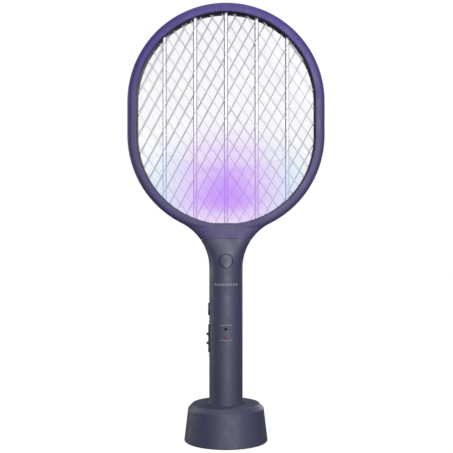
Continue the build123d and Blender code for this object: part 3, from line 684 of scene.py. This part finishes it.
def add_rim(shape, radius, y, width, depth, material_index=0):
    """A wire round the stadium: an oval section spun and pushed from corner to corner."""
    section = bmesh.ops.create_circle(shape, segments=8, radius=0.5)
    stretch = Matrix.Translation((radius, y, HIGH_CENTRE)) @ Matrix.Diagonal((width, depth, 1, 1))
    bmesh.ops.transform(shape, matrix=stretch, verts=section["verts"])
    edges = list({edge for vert in section["verts"] for edge in vert.link_edges})
    for centre, drop in ((HIGH_CENTRE, LOW_CENTRE - HIGH_CENTRE), (LOW_CENTRE, HIGH_CENTRE - LOW_CENTRE)):
        arc = bmesh.ops.spin(shape, geom=edges, cent=(0, y, centre), axis=(0, -1, 0),
                             angle=math.pi, steps=48)
        ends = [part for part in arc["geom_last"] if isinstance(part, bmesh.types.BMEdge)]
        push = bmesh.ops.extrude_edge_only(shape, edges=ends)
        moved = [part for part in push["geom"] if isinstance(part, bmesh.types.BMVert)]
        bmesh.ops.translate(shape, vec=(0, 0, drop), verts=moved)
        edges = [part for part in push["geom"] if isinstance(part, bmesh.types.BMEdge)
                 and all(vert in moved for vert in part.verts)]
    bmesh.ops.remove_doubles(shape, verts=shape.verts, dist=0.02 * MM)
    bmesh.ops.recalc_face_normals(shape, faces=shape.faces)


print("wire helpers ready")

# %% Guard nets
for side, cad_name in ((-1, "front_guard_net"), (1, "rear_guard_net")):
    centre_y = middle(cad_name).y
    net = bmesh.new()
    add_rim(net, WIRE_REACH, centre_y, *GUARD_RIM)
    shift = side * LAYER_SHIFT
    add_family(net, RISING_ANGLE, RISING_PITCH, centre_y - shift, GUARD_WIRE, GUARD_DEPTH, 8, 0)
    add_family(net, FALLING_ANGLE, FALLING_PITCH, centre_y + shift, GUARD_WIRE, GUARD_DEPTH, 8, 1)
    piece = make_piece(cad_name + "_wires", net, [rising_wire_painted_shade, falling_wire_painted_light],
                       replaces=[cad_name], sharp=60)
    print(piece.name, len(piece.data.polygons), "faces")

# %% High-voltage grid
grid = bmesh.new()
grid_y = middle("high_voltage_grid").y
add_rim(grid, WIRE_REACH, grid_y, *FINE_RIM)
add_family(grid, FALLING_ANGLE, FINE_PITCH, grid_y, FINE_WIRE, FINE_WIRE, 6)
piece = make_piece("high_voltage_grid_wires", grid, [fine_wire_painted_glow],
                   replaces=["high_voltage_grid"], sharp=60)
print(piece.name, len(piece.data.polygons), "faces")

# %% [markdown]
# ## Ribs
#
# Five ribs on each side hold the grid flat. They are moulded in milky plastic with sloping
# sides, so that they come out of the mould. The slopes carry painted shade: on the front ribs the
# slope facing left is near-black and the one facing right grey, and on the rear ribs both are
# grey, so that from the front each rib is a white band between a dark line and a grey one. The
# milky faces have a painted glow. The bar starts as a cube of the CAD rib's size, and its outer
# face is drawn in sideways.

# %% Rib helper
RIB_SLOPE = 0.95 * MM
RIB_EDGE = 0.15 * MM


def make_rib(cad_name, side):
    """A bar with sloping sides in place of a plain rib."""
    size = size_of(cad_name)
    place = Matrix.Translation(middle(cad_name)) @ Matrix.Diagonal((*size, 1))
    shape = bmesh.new()
    bmesh.ops.create_cube(shape, size=1, matrix=place)
    outer = [vert for vert in shape.verts if (vert.co.y - place.translation.y) * side > 0]
    centre_x = place.translation.x
    for vert in outer:
        vert.co.x -= math.copysign(RIB_SLOPE, vert.co.x - centre_x)
    upright_edges = [edge for edge in shape.edges
                     if abs(edge.verts[0].co.z - edge.verts[1].co.z) > size.z / 2
                     and all(vert in outer for vert in edge.verts)]
    bmesh.ops.bevel(shape, geom=upright_edges, offset=RIB_EDGE, segments=2, profile=0.5,
                    affect="EDGES", material=-1)
    shape.normal_update()
    for face in shape.faces:
        # Painted shade: slopes facing left and right get darker colours than the face, as if the light fell
        # from one side.
        face.material_index = 0 if abs(face.normal.x) < 0.75 else 1 if face.normal.x < 0 else 2
    left_slope_painted_shade = rib_side_painted_dark_shade if side < 0 else rib_side_painted_grey_shade
    return make_piece(cad_name + "_bar", shape, [rib_milk_painted_glow, left_slope_painted_shade, rib_side_painted_grey_shade],
                      replaces=[cad_name])


# %% Ribs
for side, place in ((-1, "front"), (1, "rear")):
    for number in range(1, 6):
        make_rib(f"grid_rib_{place}_{number}", side)
print("ribs made")

# %% [markdown]
# ## Printed marks
#
# The handle carries a pale printed row and two short labels beside the lamps. Real print is a
# film of ink on a curved face. A texture could show it, but the model must not use images, so
# each dash is a thin tile. It is drawn flat, cut fine enough to bend, and pressed onto the CAD
# surface by casting a ray from the front through every corner. Plain dashes stand in for words.

# %% Press onto a CAD surface
from mathutils.bvhtree import BVHTree


def surface_of(cad_name):
    """A CAD node's surface, ready for ray casts."""
    shape = bmesh.new()
    shape.from_mesh(cad_nodes[cad_name].data)
    tree = BVHTree.FromBMesh(shape)
    shape.free()
    return tree


def press_onto(shape, tree, lift):
    """Moves every vertex along Y onto the surface, and out of it by lift."""
    for vert in shape.verts:
        place, normal, _, _ = tree.ray_cast(Vector((vert.co.x, -0.2, vert.co.z)), Vector((0, 1, 0)))
        vert.co = place + normal * (lift + vert.co.y)


def add_tile(shape, x, z, width, height, corner):
    """A flat dash with rounded ends, cut into strips, in the XZ plane."""
    strips = max(2, round(width / MM))
    flat = Matrix.Translation((x, 0, z)) @ Matrix.Rotation(math.radians(90), 4, "X")
    sized = flat @ Matrix.Diagonal((width, height, 1, 1))
    tile = bmesh.ops.create_grid(shape, x_segments=strips, y_segments=2, size=0.5, matrix=sized)
    for vert in tile["verts"]:
        edge = abs(vert.co.x - x) > width / 2 - 0.01 * MM
        if edge and abs(vert.co.z - z) > height / 2 - 0.01 * MM:
            vert.co.x -= math.copysign(corner, vert.co.x - x)


def add_row(shape, z, total, count, height, gap):
    """A centred row of equal dashes."""
    width = (total - gap * (count - 1)) / count
    for number in range(count):
        x = -total / 2 + width / 2 + number * (width + gap)
        add_tile(shape, x, z, width, height, 0.2 * MM)


def finish_print(name, shape, tree, material, body="racket", lift=0.03 * MM):
    """Presses a print onto its surface and gives the ink its thickness."""
    press_onto(shape, tree, lift)
    bmesh.ops.recalc_face_normals(shape, faces=shape.faces)
    return make_piece(name, shape, [material], body=body)


handle_surface = surface_of("handle_front_shell")
print("print helpers ready")

# %% The row of dashes and the two labels
PRINT_Z = 0.1760
LABEL_ABOVE_CHARGE = 4.0 * MM
LABEL_BELOW_POWER = 3.2 * MM
ROW_WIDTH = 26.0 * MM
ROW_HEIGHT = 2.3 * MM
ROW_GAP = 0.7 * MM
LABEL_WIDTH = 13.6 * MM
LABEL_GAP = 0.5 * MM
charge_z = middle("charge_led").z
power_z = middle("power_led").z
row = bmesh.new()
add_row(row, PRINT_Z, ROW_WIDTH, 9, ROW_HEIGHT, ROW_GAP)
finish_print("handle_print", row, handle_surface, pale_ink)
labels = bmesh.new()
add_row(labels, charge_z + LABEL_ABOVE_CHARGE, LABEL_WIDTH, 5, 1.15 * MM, LABEL_GAP)
add_row(labels, power_z - LABEL_BELOW_POWER, LABEL_WIDTH, 6, 1.0 * MM, LABEL_GAP)
finish_print("lamp_labels", labels, handle_surface, pale_ink)
print("printed marks made")

# %% [markdown]
# ## Front button: painted groove shade and power sign
#
# The groove round the button gets painted shade: a dark ring, drawn flat as circles joined into
# bands and pressed onto the groove's floor. The button's mark is the common power sign, an open
# circle with a bar, printed on the button and moving with it.


# %% Bands between circles
def add_bands(shape, x, z, radii, start=0.0, sweep=2 * math.pi, segments=64):
    """Flat bands between circles or arcs of the given radii, in the XZ plane."""
    closed = math.isclose(sweep, 2 * math.pi)
    count = segments if closed else segments + 1
    loops = []
    for radius in radii:
        angles = [start + sweep * step / segments for step in range(count)]
        loops.append([shape.verts.new((x + radius * math.cos(a), 0, z + radius * math.sin(a)))
                      for a in angles])
    for inner, outer in zip(loops, loops[1:]):
        for step in range(segments):
            after = (step + 1) % count
            shape.faces.new((inner[step], inner[after], outer[after], outer[step]))


# %% Painted groove shade and power sign
button_place = middle("front_button")
HOLE_R = 7.25 * MM
SIGN_RADII = [1.75 * MM, 2.05 * MM, 2.35 * MM]
SIGN_BAR = (0.6 * MM, 2.3 * MM)
# Painted shade: a dark ring on the groove's floor stands for the shade in the groove.
groove_painted_shade = bmesh.new()
add_bands(groove_painted_shade, button_place.x, button_place.z,
          [HOLE_R + 0.05 * MM, HOLE_R + 0.35 * MM, HOLE_R + 0.72 * MM])
finish_print("front_button_groove_painted_shade", groove_painted_shade, handle_surface, control_plastic)
button_surface = surface_of("front_button")
sign = bmesh.new()
add_bands(sign, button_place.x, button_place.z, SIGN_RADII,
          start=math.radians(125), sweep=math.radians(290), segments=40)
add_tile(sign, button_place.x, button_place.z + SIGN_RADII[0], *SIGN_BAR, 0.05 * MM)
finish_print("power_sign", sign, button_surface, dark_ink, body="front_button")
print("button trim made")

# %% [markdown]
# ## Screw recesses
#
# The CAD screws have plain round heads. Each group of screws is one mesh, so its separate
# screws are found by walking from face to face, and a small dark cross is laid on each head as
# painted shade, standing for the shadow in a cross recess.


# %% Cross recesses
CROSS_SHARE = 0.55
CROSS_DEPTH = 0.16 * MM


def loose_boxes(cad_name):
    """The corner points of each separate solid in a CAD node."""
    shape = bmesh.new()
    shape.from_mesh(cad_nodes[cad_name].data)
    bmesh.ops.remove_doubles(shape, verts=shape.verts, dist=0.01 * MM)
    left = set(shape.verts)
    boxes = []
    while left:
        seen = {left.pop()}
        edge_of_seen = list(seen)
        while edge_of_seen:
            vert = edge_of_seen.pop()
            for edge in vert.link_edges:
                other = edge.other_vert(vert)
                if other not in seen:
                    seen.add(other)
                    edge_of_seen.append(other)
        left -= seen
        low = Vector([min(vert.co[axis] for vert in seen) for axis in range(3)])
        high = Vector([max(vert.co[axis] for vert in seen) for axis in range(3)])
        boxes.append((low, high))
    shape.free()
    return boxes


def add_cross(shape, place, size, flat_axis):
    """Two crossed bars of the given length, lying flat on a screw head."""
    for long_axis in {0, 1, 2} - {flat_axis}:
        sides = [size / 4, size / 4, size / 4]
        sides[long_axis] = size
        sides[flat_axis] = CROSS_DEPTH
        bmesh.ops.create_cube(shape, size=1, matrix=Matrix.Translation(place) @ Matrix.Diagonal((*sides, 1)))


for cad_name, body, axis, way in (("head_screws", "racket", 1, 1), ("handle_screws", "racket", 1, 1),
                                  ("base_screws", "base", 2, -1)):
    crosses = bmesh.new()
    for low, high in loose_boxes(cad_name):
        place = (low + high) / 2
        place[axis] = high[axis] if way > 0 else low[axis]
        across = (high - low)[0]
        add_cross(crosses, place, across * CROSS_SHARE, axis)
    # Each dark cross is painted shade for a screw's cross recess.
    piece = make_piece(cad_name + "_recess_painted_shade", crosses, [dark_plastic], body=body)
    print(piece.name, len(piece.data.polygons), "faces")

# %% [markdown]
# ## The lamp's light
#
# The lamp's light is seen as a haze on the wires and the air over its window. Volume light is
# slow and is lost when the model is exported, so a sheet as thin as film stands just in front
# of the guard net: violet in the middle, bluer towards the sides, and clear further out. It
# moves with the racket and is a stand-in for light, not a part of the object.

# %% Haze sheet
HAZE_Y = -5.5 * MM
HAZE_R = OPENING_R - 0.3 * MM
HAZE_THICKNESS = 0.05 * MM
ARC_STEPS = 64
haze = bmesh.new()
corners = [haze.verts.new((HAZE_R, HAZE_Y, HIGH_CENTRE)), haze.verts.new((-HAZE_R, HAZE_Y, HIGH_CENTRE))]
for step in range(ARC_STEPS + 1):
    angle = math.pi + math.pi * step / ARC_STEPS
    corners.append(haze.verts.new((HAZE_R * math.cos(angle), HAZE_Y, LOW_CENTRE + HAZE_R * math.sin(angle))))
haze.faces.new(corners)
bmesh.ops.solidify(haze, geom=haze.faces[:], thickness=HAZE_THICKNESS)
bmesh.ops.recalc_face_normals(haze, faces=haze.faces)
make_piece("lamp_haze", haze, [haze_light])
print("lamp haze made")
